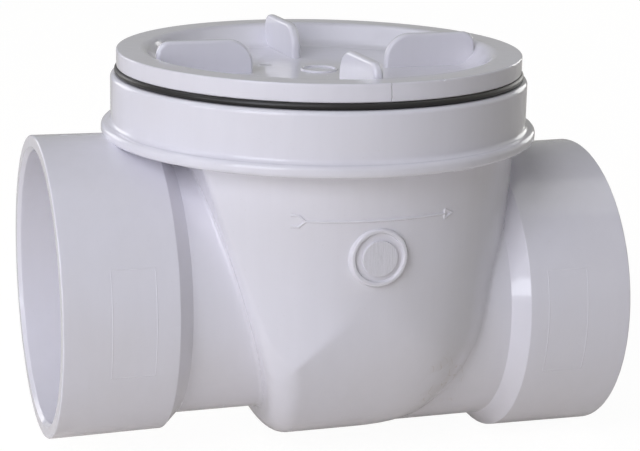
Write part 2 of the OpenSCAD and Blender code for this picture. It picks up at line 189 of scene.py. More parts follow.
def fieldMesh(name, field, low, high, step):
    # quads over the zero surface of a field, one point in each cell that it crosses,
    # then the points relax and settle on the surface itself
    axes = [np.arange(a, b + step, step) for a, b in zip(low, high)]
    solid = field(*np.meshgrid(*axes, indexing="ij")) < 0
    nx, ny, nz = (n - 1 for n in solid.shape)
    count = sum(solid[i:i + nx, j:j + ny, k:k + nz].astype(np.int8)
                for i in (0, 1) for j in (0, 1) for k in (0, 1))
    crossed = (count > 0) & (count < 8)
    number = np.full(crossed.shape, -1)
    number[crossed] = np.arange(crossed.sum())
    points = np.array(low) + (np.argwhere(crossed) + 0.5) * step
    faces = []
    for axis in range(3):
        order = (axis, (axis + 1) % 3, (axis + 2) % 3)
        s = np.moveaxis(solid, order, (0, 1, 2))
        cells = np.moveaxis(number, order, (0, 1, 2))
        i, j, k = np.nonzero(s[:-1, 1:-1, 1:-1] != s[1:, 1:-1, 1:-1])
        quads = np.stack([cells[i, j, k], cells[i, j + 1, k],
                          cells[i, j + 1, k + 1], cells[i, j, k + 1]], 1)
        back = s[i + 1, j + 1, k + 1]
        quads[back] = quads[back][:, ::-1]
        faces.append(quads)
    faces = np.concatenate(faces)

    def settle(p):
        h = settling["span"]
        d = field(*p.T)
        slope = np.stack([(field(*(p + e).T) - field(*(p - e).T)) / (2 * h) for e in np.eye(3) * h], 1)
        return p - (d / np.maximum((slope ** 2).sum(1), settling["leastSlope"]))[:, None] * slope

    ends = np.concatenate([faces[:, [0, 1]], faces[:, [1, 2]], faces[:, [2, 3]], faces[:, [3, 0]]])
    links = np.bincount(ends[:, 0], minlength=len(points))
    for turn in range(settling["rounds"]):
        if turn < settling["relaxed"]:
            total = np.stack([np.bincount(ends[:, 0], points[ends[:, 1], c], len(points))
                              for c in range(3)], 1)
            points = points + settling["pull"] * (total / links[:, None] - points)
        points = settle(points)
    return makeObject(name, points, faces)


def shadeSmooth(obj, angle=32):
    mesh = obj.data
    mesh.polygons.foreach_set("use_smooth", [True] * len(mesh.polygons))
    mesh.set_sharp_from_angle(angle=math.radians(angle))
    # flat faces keep their own direction beside rounded edges
    weigh = obj.modifiers.new("weigh", "WEIGHTED_NORMAL")
    weigh.keep_sharp = True
    graph = bpy.context.evaluated_depsgraph_get()
    obj.data = bpy.data.meshes.new_from_object(obj.evaluated_get(graph))
    obj.modifiers.remove(weigh)
    bpy.data.meshes.remove(mesh)
    return obj


def shadeByFields(obj, fields, near=0.03, span=0.05):
    # faces within near of a field's surface are shaded by the slope of that field, taken over span
    mesh = obj.data
    points = np.empty(len(mesh.vertices) * 3)
    mesh.vertices.foreach_get("co", points)
    points = points.reshape(-1, 3) / mm
    corners = np.empty(len(mesh.loops), dtype=np.int64)
    mesh.loops.foreach_get("vertex_index", corners)
    starts = np.empty(len(mesh.polygons), dtype=np.int64)
    mesh.polygons.foreach_get("loop_start", starts)
    totals = np.empty(len(mesh.polygons), dtype=np.int64)
    mesh.polygons.foreach_get("loop_total", totals)
    normals = np.empty(len(corners) * 3)
    mesh.corner_normals.foreach_get("vector", normals)
    normals = normals.reshape(-1, 3)
    for field, side in fields:
        on = np.abs(field(*points.T)) < near
        whole = np.repeat(np.minimum.reduceat(on[corners].astype(int), starts) > 0, totals)
        here = points[corners[whole]]
        slope = np.stack([field(*(here + e).T) - field(*(here - e).T) for e in np.eye(3) * span], 1)
        normals[whole] = side * slope / np.linalg.norm(slope, axis=1)[:, None]
    mesh.normals_split_custom_set(normals.tolist())
    return obj


def extruded(name, outline, thickness, edge=0, place=Matrix()):
    # an outline in the XZ plane given a thickness along Y, its edges rounded
    half = thickness / 2
    count = len(outline)
    points = [(x, -half, z) for x, z in outline] + [(x, half, z) for x, z in outline]
    faces = [list(range(count)), list(range(2 * count - 1, count - 1, -1))]
    faces += [[i, (i + 1) % count, count + (i + 1) % count, count + i] for i in range(count)]
    obj = makeObject(name, [place @ Vector(p) for p in points], faces)
    faceOutward(obj)
    if edge:
        bm = bmesh.new()
        bm.from_mesh(obj.data)
        rims = [e for e in bm.edges if any(len(f.verts) > 4 for f in e.link_faces)]
        bmesh.ops.bevel(bm, geom=rims, offset=edge * mm, segments=4, profile=0.5, affect="EDGES",
                        clamp_overlap=True)
        bm.to_mesh(obj.data)
        bm.free()
    return obj


# section of a thread's ridge: half its width under the surface, at it and on top, how deep its foot
# sits, the part of a turn over which it fades in and out, and the height that is left there
ridge = {"sunkHalf": 1.9, "footHalf": 1.6, "topHalf": 0.55, "foot": 0.6, "fade": 0.125, "least": 0.05}


def helix(name, radius, height, start, turns, pitch, sides=96):
    # a ridge of thread that stands out by height (in, when it is negative) and tapers at both ends
    f = ridge
    fade = sides * f["fade"]
    sink = -math.copysign(f["foot"], height)
    count = int(turns * sides)
    points, faces = [], []
    for i in range(count + 1):
        angle = 2 * math.pi * i / sides
        z = start + pitch * i / sides
        grow = min(1, i / fade, (count - i) / fade)
        tall = height * max(grow, f["least"])
        section = [(radius + sink, -f["sunkHalf"]), (radius, -f["footHalf"]), (radius + tall, -f["topHalf"]),
                   (radius + tall, f["topHalf"]), (radius, f["footHalf"]), (radius + sink, f["sunkHalf"])]
        points += [(r * math.cos(angle), r * math.sin(angle), z + w) for r, w in section]
    n = len(section)
    for i in range(count):
        for k in range(n):
            a, b = i * n + k, i * n + (k + 1) % n
            faces.append([a, b, b + n, a + n])
    faces += [list(range(n)), [count * n + k for k in range(n)]]
    return faceOutward(makeObject(name, points, faces))


def ball(name, centre, radius, sides=32, rows=24):
    outline = [(radius * math.sin(math.pi * k / rows), -radius * math.cos(math.pi * k / rows))
               for k in range(rows + 1)]
    return turned(name, outline, Matrix.Translation(centre), sides)


# section of a raised line, in parts of its width and height, and how its corners are made:
# depth of its foot, space between its sections, and the limit on how much a corner widens it
raisedSection = ((-0.5, 0), (-0.36, 0.75), (-0.15, 1), (0.15, 1), (0.36, 0.75), (0.5, 0))
strokeMake = {"foot": 0.35, "space": 1.2, "leastCosine": 0.5}


def stroke(name, path, surface, width, height, closed=False):
    # a raised line along a path of (u, v) in mm on a surface(u, v, lift), round on top
    m = strokeMake
    corners = [Vector(p) for p in path]
    spots = []
    for a, b in zip(corners, corners[1:] + corners[:1] if closed else corners[1:]):
        count = max(1, round((b - a).length / m["space"]))
        spots += [a.lerp(b, k / count) for k in range(count)]
    if not closed:
        spots.append(corners[-1])
    top = [(w, h * height) for w, h in raisedSection]
    section = [(top[0][0], -m["foot"]), *top, (top[-1][0], -m["foot"])]
    points, faces = [], []
    last = len(spots) - 1
    for i, spot in enumerate(spots):
        before = spots[i - 1] if i or closed else spot
        after = spots[(i + 1) % len(spots)] if i < last or closed else spot
        into, out = (spot - before), (after - spot)
        along = (into.normalized() + out.normalized()).normalized()
        across = Vector((-along.y, along.x))
        side = out if out.length else into
        spread = width / max(abs(side.normalized().dot(along)), m["leastCosine"])
        for w, lift in section:
            u, v = spot + across * w * spread
            points.append(surface(u, v, lift))
    n = len(section)
    for i in range(len(spots) if closed else last):
        j = (i + 1) % len(spots)
        faces += [[i * n + k, i * n + (k + 1) % n, j * n + (k + 1) % n, j * n + k] for k in range(n)]
    if not closed:
        faces += [list(range(n)), [last * n + k for k in range(n)]]
    return faceOutward(makeObject(name, points, faces))


def join(name, pieces):
    # several closed forms kept in one object
    bm = bmesh.new()
    for piece in pieces:
        bm.from_mesh(piece.data)
        bpy.data.objects.remove(piece)
    mesh = bpy.data.meshes.new(name)
    bm.to_mesh(mesh)
    bm.free()
    obj = bpy.data.objects.new(name, mesh)
    bpy.context.scene.collection.objects.link(obj)
    return obj


# sizes of the body, in mm: those of the part's source, but for the chamber's swell, bowl and heel, the outlet
# hub's length, the gate's profile and the finer roundings, which follow the photograph more closely here
body = {
    "boreR": 50.8, "pipeR": 57.15, "socketR": 57.35, "hubR": 63.7, "hubDraft": 0.5,
    "socketDepth": 44.5, "mouthBevel": 1.5, "mouthEdge": 0.7,
    "inletX": -121.75, "inletHub": 47.0, "inletZ": 75.9,
    "outletX": 121.75, "outletHub": 45.7, "outletZ": 63.7,
    "shoulder": 6.5,
    "wall": 6.0, "lean": 16.0, "seatX": -46.5,
    "chamberR": 80.0, "cradleR": 80.1, "bowlR": 82.6, "bowlPower": 2.1, "bowlZ": 86.9,
    "flare": 2.6, "swell": 1.5, "swellStart": 15.0, "swellRun": 42.0,
    "beadZ": 137.5, "beadH": 5.0, "beadR": 92.7, "beadEdge": 1.9,
    "collarR": 88.6, "rimZ": 163.1, "rimEdge": 2.0, "threadBoreR": 79.8, "entryBevel": 1.0,
    "threadPitch": 6.0, "threadH": 1.8, "threadStart": 146.8, "threadTurns": 2.1,
    "recessR": 57.75, "recessDepth": 3.0,
    # roundings: heel at the side and underneath, tower over the heel, over the bowl, and along the seat
    # at its head and foot, edge of the bowl, foot of each neck
    "heelR": 12.0, "heelLowR": 7.5, "towerEdgeR": 0.5, "towerBowlR": 3.0, "seatEdgeR": (1.6, 5.0),
    "bowlEdgeR": 3.0, "inletFillet": 1.5, "outletFillet": 0.8,
    # where those roundings change: how far underneath the heel starts to sharpen and over what part,
    # length over which the tower's edge softens towards the bowl, height and run of the seat edge's
    # change from foot to head, and how near the seat face its own rounding starts and over what length
    "underFrom": 0.4, "underRun": 0.5, "softRun": 40, "headFrom": 55, "headRun": 55,
    "nearFrom": 3, "nearRun": 7,
    # where each neck ends: inside the chamber, either side of its middle, and under its hub
    "neckInside": 20, "inletNeckEnd": -72, "outletNeckEnd": 74,
    "hubEdge": 0.8, "footSunk": 0.6, "footOver": 0.5, "socketEdge": 0.8, "socketFloorR": 0.5, "boreEdge": 0.8,
    "gateX": 1.0, "gateZ": 102.9, "gateR": 11.6, "gateLip": 1.75, "gateProud": 1.5, "gateFloor": 0.3,
    "gateTaper": 0.4, "gateSunk": 5, "gateEdges": (0.7, 0.5, 0.3), "gateDraft": 0.3,
    "screwX": -64.51, "screwY": 14.0, "screwHoleR": 2.05, "screwBite": 4.0,
    # shallow round marks on the crowns of the hubs: x, y, size, depth
    "crownMarks": ((-109.0, 4.5, 2.6, 0.35), (110.5, 2.8, 2.6, 0.35)), "crownSunk": 0.2,
    # the meshes of the outer and inner form: corners of the space that is searched, and its cells
    "outerSpace": ((-80, -86, 2), (84, 86, 142)), "outerCell": 1.5,
    "innerSpace": ((-66, -84, 4), (84, 84, 146)), "innerCell": 2.5,
    # what one form sinks into the next before they are joined, and what a cut runs past its end
    "joinDepth": 1.5, "past": 1,
}
lean = math.radians(body["lean"])
seatFace = Vector((body["seatX"] + body["wall"] / math.cos(lean), 0, body["inletZ"]))
# the seat's own axes: X away from the wall, Z up along it
seatTurn = Matrix.Translation(seatFace) @ Matrix.Rotation(-lean, 4, "Y")
alongX = Matrix.Rotation(math.radians(90), 4, "Y")
towardsFront = Matrix.Rotation(math.radians(90), 4, "X")


def easy(t):
    # 0 to 1, level at both ends
    return t * t * (3 - 2 * t)


def fuller(x):
    # how much fuller the chamber is towards the outlet
    return body["swell"] * easy(np.clip((x - body["swellStart"]) / body["swellRun"], 0, 1))


def chamberRadius(z):
    b = body
    return b["chamberR"] + b["flare"] / (b["beadZ"] - b["bowlZ"]) * max(z - b["bowlZ"], 0)


def chamberField(x, y, z, inset=0):
    b = body
    up = z - b["bowlZ"]
    low = np.minimum(up, 0)
    flare = b["flare"] / (b["beadZ"] - b["bowlZ"]) * np.maximum(up, 0) - inset
    tower = np.hypot(x, y) - (b["chamberR"] + flare + fuller(x))
    cradle = np.hypot(y, low) - (b["cradleR"] + flare)
    n = b["bowlPower"]
    bowl = (np.maximum(x, 0) ** n + np.abs(y) ** n + np.abs(low) ** n) ** (1 / n) - (b["bowlR"] + flare)
    seat = inset - (x - b["seatX"]) * math.cos(lean) - (z - b["inletZ"]) * math.sin(lean)
    bottom = roundEdge(cradle, bowl, b["bowlEdgeR"])
    # the seat wall turns into the bottom softly, less so underneath, and into the tower sharply
    down = -low / np.maximum(np.hypot(y, low), 1)
    under = easy(np.clip((down - b["underFrom"]) / b["underRun"], 0, 1))
    heelR = b["heelR"] + (b["heelLowR"] - b["heelR"]) * under - inset
    heel = roundEdge(bottom, seat, np.maximum(heelR, 1))
    # the tower's lower edge is crisp over the heel and soft over the bowl and along the seat
    over = np.clip(x / b["softRun"], 0, 1)
    head = np.clip((z - b["headFrom"]) / b["headRun"], 0, 1)
    near = np.clip(1 + (seat + b["nearFrom"]) / b["nearRun"], 0, 1)
    along = b["seatEdgeR"][1] + (b["seatEdgeR"][0] - b["seatEdgeR"][1]) * head
    edgeR = b["towerEdgeR"] + (b["towerBowlR"] - b["towerEdgeR"]) * over + (along - b["towerEdgeR"]) * near
    return roundEdge(heel, tower, edgeR)


def outerField(x, y, z):
    b = body
    chamber = chamberField(x, y, z)
    inlet = np.maximum(np.hypot(y, z - b["inletZ"]) - b["pipeR"],
                       np.maximum(b["inletNeckEnd"] - x, x + b["neckInside"]))
    outlet = np.maximum(np.hypot(y, z - b["outletZ"]) - b["pipeR"],
                        np.maximum(b["neckInside"] - x, x - b["outletNeckEnd"]))
    joined = openJoint(openJoint(chamber, inlet, b["inletFillet"]), outlet, b["outletFillet"])
    return np.maximum(joined, z - b["beadZ"] - b["joinDepth"])


def innerField(x, y, z):
    b = body
    return np.maximum(chamberField(x, y, z, b["wall"]), z - b["beadZ"] - b["beadH"])


def hubOutline(b, length):
    # outside of a hub up to its shoulder, whose foot dips just under the neck
    far = length + b["shoulder"]
    end = far + b["footOver"]
    return bend([(0, 0), (b["hubR"], 0, b["mouthEdge"]), (b["hubR"] - b["hubDraft"], length, b["hubEdge"]),
                 (b["pipeR"], far), (b["pipeR"] - b["footSunk"], end), (0, end)])


def hubSpace(b, length):
    # the socket and the bore behind it, from just outside the mouth
    past = b["past"]
    return bend([(0, -past), (b["socketR"] + b["mouthBevel"] + past, -past),
                 (b["socketR"], b["mouthBevel"], b["socketEdge"]),
                 (b["socketR"], b["socketDepth"], b["socketFloorR"]),
                 (b["boreR"], b["socketDepth"], b["boreEdge"]), (b["boreR"], length), (0, length)])


def markBall(name, x, y, surface, size, depth):
    # a ball that leaves a round mark of a size and depth in a level surface
    radius = (size * size + depth * depth) / (2 * depth)
    return ball(name, (x, y, surface + radius - depth), radius, 48)


def gateOutline(b):
    r, lip, sunk = b["gateR"], b["gateLip"], b["gateSunk"]
    rim, inside, floor = b["gateEdges"]
    return bend([(0, -sunk), (r + b["gateTaper"] * (b["gateProud"] + sunk), -sunk), (r, b["gateProud"], rim),
                 (r - lip + b["gateDraft"], b["gateProud"], inside), (r - lip, b["gateFloor"], floor),
                 (0, b["gateFloor"])])


def makeBody():
    b = body
    past = b["past"]
    shell = fieldMesh("valveBody", outerField, *b["outerSpace"], b["outerCell"])
    print("  outer form", len(shell.data.polygons))
    inletPlace = Matrix.Translation((b["inletX"], 0, b["inletZ"])) @ alongX
    aboutFace = Matrix.Rotation(math.pi, 4, "Z")
    outletPlace = Matrix.Translation((b["outletX"], 0, b["outletZ"])) @ aboutFace @ alongX
    ledgeZ = b["beadZ"] + b["beadH"]
    collar = bend([(0, b["beadZ"]), (b["beadR"], b["beadZ"], b["beadEdge"]),
                   (b["beadR"], ledgeZ, b["beadEdge"]), (b["collarR"], ledgeZ, b["beadEdge"]),
                   (b["collarR"], b["rimZ"], b["rimEdge"]), (0, b["rimZ"])])
    gatePlace = Matrix.Translation((b["gateX"], -chamberRadius(b["gateZ"]), b["gateZ"])) @ towardsFront
    combine(shell, [
        turned("collar", collar),
        turned("inletHub", hubOutline(b, b["inletHub"]), inletPlace),
        turned("outletHub", hubOutline(b, b["outletHub"]), outletPlace),
        turned("gate", gateOutline(b), gatePlace, 96),
    ], "UNION")
    inner = fieldMesh("innerForm", innerField, *b["innerSpace"], b["innerCell"])
    through = -b["inletX"] + seatFace.x + b["boreR"] * math.tan(lean) + past
    # a hair under the ledge, so that this cut and the hollow meet
    boreFoot = ledgeZ - 0.01
    threadBore = bend([(0, boreFoot), (b["threadBoreR"], boreFoot, 1.0),
                       (b["threadBoreR"], b["rimZ"] - b["entryBevel"]),
                       (b["threadBoreR"] + b["entryBevel"] + past, b["rimZ"] + past), (0, b["rimZ"] + past)])
    # cuts that open into the hollow end inside it
    intoHollow, overLedge = 6, 20
    recess = [(0, -b["recessDepth"]), (b["recessR"], -b["recessDepth"]), (b["recessR"], intoHollow),
              (0, intoHollow)]
    screwHole = [(0, 0), (b["screwHoleR"], 0), (b["screwHoleR"], overLedge), (0, overLedge)]
    cuts = [
        inner,
        turned("inletSpace", hubSpace(b, through), inletPlace),
        turned("outletSpace", hubSpace(b, b["outletX"]), outletPlace),
        turned("collarSpace", threadBore),
        turned("seatRecess", recess, seatTurn @ alongX),
    ]
    for side in (-1, 1):
        place = Matrix.Translation((b["screwX"], side * b["screwY"], ledgeZ - b["screwBite"]))
        cuts.append(turned("screwHole", screwHole, place, 32))
    for x, y, size, depth in b["crownMarks"]:
        crown = (b["inletZ"] if x < 0 else b["outletZ"]) + b["hubR"] - b["crownSunk"]
        cuts.append(markBall("crownMark", x, y, crown, size, depth))
    combine(shell, cuts, "DIFFERENCE")
    thread = helix("thread", b["threadBoreR"], -b["threadH"], b["threadStart"], b["threadTurns"],
                   b["threadPitch"])
    combine(shell, [thread], "UNION")
    print("  body", len(shell.data.polygons))
    shadeSmooth(faceOutward(shell))
    return shadeByFields(shell, [(outerField, 1), (innerField, -1)])


print("making the body")
valveBody = makeBody()
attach(valveBody, "valve")
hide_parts("valve_body")

# raised lines: the flow arrow on the chamber and the outlines of the mould's inserts on the hubs
raised = {
    "arrowZ": 118.0, "shaft": (-28.8, 30.3), "tailX": -34.6, "tailBend": -31.4, "tailRise": 2.3,
    "headX": 34.2, "headRise": 1.9, "arrowW": 1.05, "arrowH": 0.52,
    "insertNear": 84.2, "insertFar": 102.0, "insertHalf": 22.8, "insertW": 0.5, "insertH": 0.08,
}


def onChamber(u, v, lift):
    # u across the front, v the height above the floor
    turn = u / chamberRadius(v)
    reach = chamberRadius(v) + fuller(u) + lift
    return (reach * math.sin(turn), -reach * math.cos(turn), v)


def onHub(u, v, lift):
    # u along the flow, v up around the hub from the height of its axis
    b = body
    inlet = u < 0
    length = b["inletHub"] if inlet else b["outletHub"]
    radius = b["hubR"] - b["hubDraft"] * (abs(b["inletX"]) - abs(u)) / length
    turn = v / radius
    middle = b["inletZ"] if inlet else b["outletZ"]
    return (u, -(radius + lift) * math.cos(turn), middle + (radius + lift) * math.sin(turn))


def makeRaisedLines(r):
    z, start, end = r["arrowZ"], r["shaft"][0], r["shaft"][1]
    lines = [
        [(start, z), (end, z)],
        [(r["tailX"], z + r["tailRise"]), (r["tailBend"], z + r["tailRise"]), (start, z)],
        [(r["tailX"], z - r["tailRise"]), (r["tailBend"], z - r["tailRise"]), (start, z)],
        [(end, z + r["headRise"]), (end, z - r["headRise"])],
        [(end, z + r["headRise"]), (r["headX"], z), (end, z - r["headRise"])],
    ]
    pieces = [stroke("arrow", line, onChamber, r["arrowW"], r["arrowH"]) for line in lines]
    for side in (-1, 1):
        a, b, h = side * r["insertNear"], side * r["insertFar"], r["insertHalf"]
        corners = [(a, -h), (b, -h), (b, h), (a, h)]
        pieces.append(stroke("insert", corners, onHub, r["insertW"], r["insertH"], True))
    return shadeSmooth(join("raisedLines", pieces), 50)


print("making the raised lines")
raisedLines = makeRaisedLines(raised)
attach(raisedLines, "valve")

# the sawn stub of the gate, set a little to one side in its boss
stub = {"x": 1.3, "z": 102.5, "radius": 7.3, "proud": 1.55, "sunk": 2, "edge": 0.2}


def makeStub(s):
    place = Matrix.Translation((s["x"], -chamberRadius(body["gateZ"]), s["z"])) @ towardsFront
    outline = bend([(0, -s["sunk"]), (s["radius"], -s["sunk"]), (s["radius"], s["proud"], s["edge"]),
                    (0, s["proud"])], 3)
    return shadeSmooth(turned("sawnStub", outline, place, 96))


sawnStub = makeStub(stub)
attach(sawnStub, "valve")

cover = {
    "ringR": 86.0, "ringZ": 165.9, "ringTop": 173.4, "ringEdge": 0.7,
    "landR": 76.1, "dishZ": 164.1, "dishEdge": 4.5, "dishFillet": 9.0, "dishSlope": 50.0,
    "underZ": 159.1, "skirtR": 77.5, "skirtWall": 4.5, "skirtZ": 148.1,
    "glandR": 81.7, "glandZ": 163.5,
    # roundings: under the plate, inside and outside of the skirt's foot, lower and upper corner of the gland
    "underEdge": 2.0, "skirtEdges": (0.5, 0.7), "glandEdges": (0.3, 0.5),
    "ribT": 4.0, "ribStart": 29.8, "ribEnd": 71.3, "ribTop": 178.5, "ribInnerR": 11.0, "ribOuterR": 5.5,
    "ribEdge": 1.5, "ribTurn": 2.0, "ribSunk": 1,
    "markR": 8.0, "markH": 0.8, "markW": 1.2, "markSunk": 0.5, "markEdges": (0.5, 0.4),
    "pitch": 6.0, "threadH": 1.8, "threadStart": 149.8, "threadTurns": 2.1,
    # a round dent in the dish: x, y, size, depth
    "dent": (-19.6, 15.6, 3.0, 0.6),
    # knocks on the ring's upper edge: angle in degrees, size
    "knocks": ((-72.9, 0.9), (-41.4, 0.8), (-61.0, 0.5)), "knockRise": 0.2,
}


def makeCover(c):
    slope = math.radians(c["dishSlope"])
    turnR = c["dishEdge"] + c["dishFillet"]
    depth = c["ringTop"] - c["dishZ"]
    run = turnR * math.sin(slope) + (depth - turnR * (1 - math.cos(slope))) / math.tan(slope)
    dishR = c["landR"] - run
    lip = [(c["landR"] + c["dishEdge"] * math.cos(a), c["ringTop"] + c["dishEdge"] * (math.sin(a) - 1))
           for a in (math.pi / 2 + slope * k / 8 for k in range(9))]
    well = [(dishR + c["dishFillet"] * math.cos(a), c["dishZ"] + c["dishFillet"] * (math.sin(a) + 1))
            for a in (slope - math.pi / 2 - slope * k / 10 for k in range(11))]
    inside = c["skirtR"] - c["skirtWall"]
    outside = bend([(0, c["underZ"]), (inside, c["underZ"], c["underEdge"]),
                    (inside, c["skirtZ"], c["skirtEdges"][0]), (c["skirtR"], c["skirtZ"], c["skirtEdges"][1]),
                    (c["skirtR"], c["glandZ"]), (c["glandR"], c["glandZ"], c["glandEdges"][0]),
                    (c["glandR"], c["ringZ"], c["glandEdges"][1]), (c["ringR"], c["ringZ"], c["ringEdge"]),
                    (c["ringR"], c["ringTop"], c["ringEdge"]), (c["landR"], c["ringTop"])])[:-1]
    obj = turned("accessCover", outside + lip + well + [(0, c["dishZ"])])
    added = []
    ribFoot = c["dishZ"] - c["ribSunk"]
    outline = bend([(c["ribEnd"], ribFoot), (c["ribStart"], ribFoot),
                    (c["ribStart"], c["ribTop"], c["ribInnerR"]),
                    (c["ribEnd"], c["ribTop"], c["ribOuterR"])], 10)
    for k in range(4):
        place = Matrix.Rotation(math.radians(90 * k + c["ribTurn"]), 4, "Z")
        added.append(extruded("rib", outline, c["ribT"], c["ribEdge"], place))
    markFoot, markTop = c["dishZ"] - c["markSunk"], c["dishZ"] + c["markH"]
    mark = bend([(c["markR"], markFoot), (c["markR"], markTop, c["markEdges"][0]),
                 (c["markR"] - c["markW"], markTop, c["markEdges"][1]), (c["markR"] - c["markW"], markFoot)])
    added.append(turned("mark", mark, sides=64))
    added.append(helix("thread", c["skirtR"], c["threadH"], c["threadStart"], c["threadTurns"], c["pitch"]))
    combine(obj, added, "UNION")
    x, y, size, depth = c["dent"]
    cuts = [markBall("dent", x, y, c["dishZ"], size, depth)]
    for angle, size in c["knocks"]:
        a = math.radians(angle)
        place = (c["ringR"] * math.cos(a), c["ringR"] * math.sin(a), c["ringTop"] + c["knockRise"])
        cuts.append(ball("knock", place, size, 16))
    return shadeSmooth(faceOutward(combine(obj, cuts, "DIFFERENCE")))


print("making the cover")
accessCover = makeCover(cover)
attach(accessCover, "cover")
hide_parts("access_cover")

oRing = {"z": 163.1, "height": 2.8, "outerR": 86.9, "width": 5.0}


def makeORing(o):
    # a whisker under half the height, so that the roundings don't meet
    edge = o["height"] / 2 * 0.99
    inner, top = o["outerR"] - o["width"], o["z"] + o["height"]
    outline = bend([(inner, o["z"], edge), (o["outerR"], o["z"], edge),
                    (o["outerR"], top, edge), (inner, top, edge)])
    return shadeSmooth(turned("coverSeal", outline))


coverSeal = makeORing(oRing)
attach(coverSeal, "cover_seal")
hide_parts("cover_o_ring")


class Wire:
    # an output socket; arithmetic on it adds Math nodes
    def __init__(self, paint, socket):
        self.paint = paint
        self.socket = socket

    def __add__(self, other):
        return self.paint.maths("ADD", self, other)

    def __radd__(self, other):
        return self.paint.maths("ADD", other, self)

    def __sub__(self, other):
        return self.paint.maths("SUBTRACT", self, other)

    def __rsub__(self, other):
        return self.paint.maths("SUBTRACT", other, self)

    def __mul__(self, other):
        return self.paint.maths("MULTIPLY", self, other)

    def __rmul__(self, other):
        return self.paint.maths("MULTIPLY", other, self)

    def __abs__(self):
        return self.paint.maths("ABSOLUTE", self)

    def clipped(self, low, high):
        # 0 below low, 1 above high, soft between
        return self.paint.add("MapRange", {"interpolation_type": "SMOOTHSTEP"},
                              {"Value": self, "From Min": low, "From Max": high})


class Paint:
    # builds a node tree round one shader
    def __init__(self, tree, shader, constants=None):
        self.tree = tree
        self.shader = tree.nodes[shader]
        for key, value in (constants or {}).items():
            self.feed(self.shader.inputs[key], value)

    def feed(self, socket, value):
        if isinstance(value, Wire):
            self.tree.links.new(value.socket, socket)
        elif isinstance(value, (tuple, list)) and len(value) == 3 and socket.type == "RGBA":
            socket.default_value = (*value, 1)
        else:
            socket.default_value = value

    def add(self, kind, settings=None, values=None, out=0):
        # any node: its type, its settings, then the values or links of its sockets
        node = self.tree.nodes.new("ShaderNode" + kind)
        for key, value in (settings or {}).items():
            setattr(node, key, value)
        for key, value in (values or {}).items():
            self.feed(node.inputs[key], value)
        return Wire(self, node.outputs[out])

    def maths(self, operation, *values):
        return self.add("Math", {"operation": operation}, dict(enumerate(values)))

    def other(self, wire, name):
        # another output of the node that a wire comes from
        return Wire(self, wire.socket.node.outputs[name])

    def mix(self, factor, a, b):
        return self.add("Mix", {"data_type": "RGBA"}, {0: factor, 6: a, 7: b}, 2)

    def place(self, out=3):
        # the piece's own coordinates, in metres
        return self.add("TexCoord", out=out)

    def parts(self, where):
        x = self.add("SeparateXYZ", None, {0: where})
        return x, self.other(x, "Y"), self.other(x, "Z")

    def noise(self, where, scale, detail=2.0, rough=0.5, stretch=None):
        if stretch:
            where = self.add("VectorMath", {"operation": "MULTIPLY"}, {0: where, 1: stretch})
        return self.add("TexNoise", None,
                        {"Vector": where, "Scale": scale, "Detail": detail, "Roughness": rough})

    def finish(self, colour, roughness, bump, depth):
        self.feed(self.shader.inputs["Base Color"], colour)
        self.feed(self.shader.inputs["Roughness"], roughness)
        normal = self.add("Bump", None, {"Distance": depth, "Height": bump})
        self.feed(self.shader.inputs["Normal"], normal)


def startPaint(name, constants):
    material = bpy.data.materials.new(name)
    material.use_nodes = True
    return material, Paint(material.node_tree, "Principled BSDF", constants)


whitePlastic = {
    "clean": (0.85, 0.84, 0.90), "dull": (0.835, 0.82, 0.865), "roughness": 0.10, "ior": 1.5,
    "flowTint": (0.55, 0.55, 0.58), "flowShare": 0.035, "speckTint": (0.30, 0.27, 0.22), "speckShare": 0.12,
    "smearRough": 0.05, "speckRough": 0.2, "peel": 0.10, "flow": 0.35, "bumpDepth": 0.00012,
}
# a few faint brown rubs low on the bowl; the places where they come in and fade out are in metres
rubs = {
    "tint": (0.52, 0.44, 0.35), "lineShare": 0.35, "hazeShare": 0.09, "slant": 0.6, "perMetre": 520,
    "warp": 0.03, "lineEdge": (0.04, 0.22), "startX": (0.024, 0.034), "endX": (0.046, 0.054),
    "startZ": (0.018, 0.028), "endZ": (0.046, 0.062), "endY": (-0.045, -0.03),
}
# hair line where the plastic met again, at the front of the cover's ring; places and widths in metres
weldLine = {
    "x": 0.00255, "wander": 0.0009, "edge": (0.00006, 0.00022), "endY": (-0.0850, -0.0845),
    "startZ": (0.1660, 0.1664), "tint": (0.25, 0.24, 0.23), "share": 0.55, "depth": 1.2,
}
# what the saw left on the gate's stub
sawMarks = {
    "stretch": (2600, 260, 130), "tint": (0.56, 0.56, 0.56), "share": 0.25, "roughness": 0.5,
    "roughSpread": 0.2, "depth": 1.6,
}


